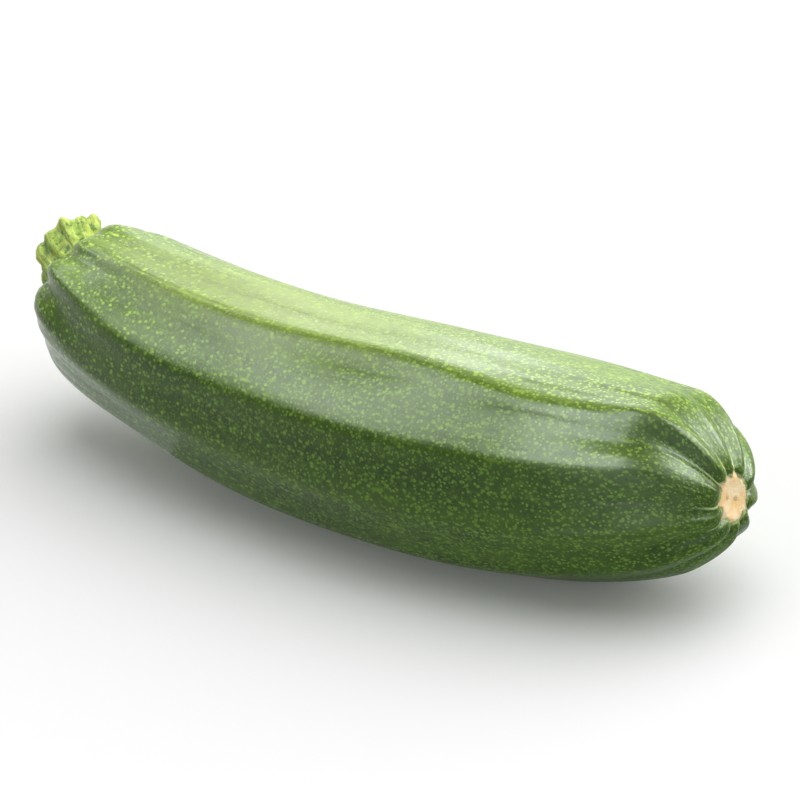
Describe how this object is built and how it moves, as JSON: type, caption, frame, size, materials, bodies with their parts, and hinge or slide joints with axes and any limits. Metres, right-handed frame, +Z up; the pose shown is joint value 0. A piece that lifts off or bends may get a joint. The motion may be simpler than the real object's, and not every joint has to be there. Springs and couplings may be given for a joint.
{
  "type": "courgette",
  "caption": "Whole green courgette, long and slightly bent, with soft ribs, a cut stalk stub and a star-shaped blossom scar, lying on its side.",
  "frame": {"origin": "bottom centre of the whole courgette's box, on the surface that it lies on", "axes": "+X along the fruit from the stalk to the blossom scar, +Y towards the hollow side of its bend, +Z up"},
  "size_m": [0.2038, 0.0492, 0.0457],
  "materials": {
    "green_skin": "satin waxy skin with fine pale yellow-green speckles",
    "stalk_green": "matt yellow-green stalk with dark green flecks"
  },
  "bodies": {
    "root": {"fruit": "green_skin", "stem_stub": "stalk_green"}
  },
  "joints": []
}
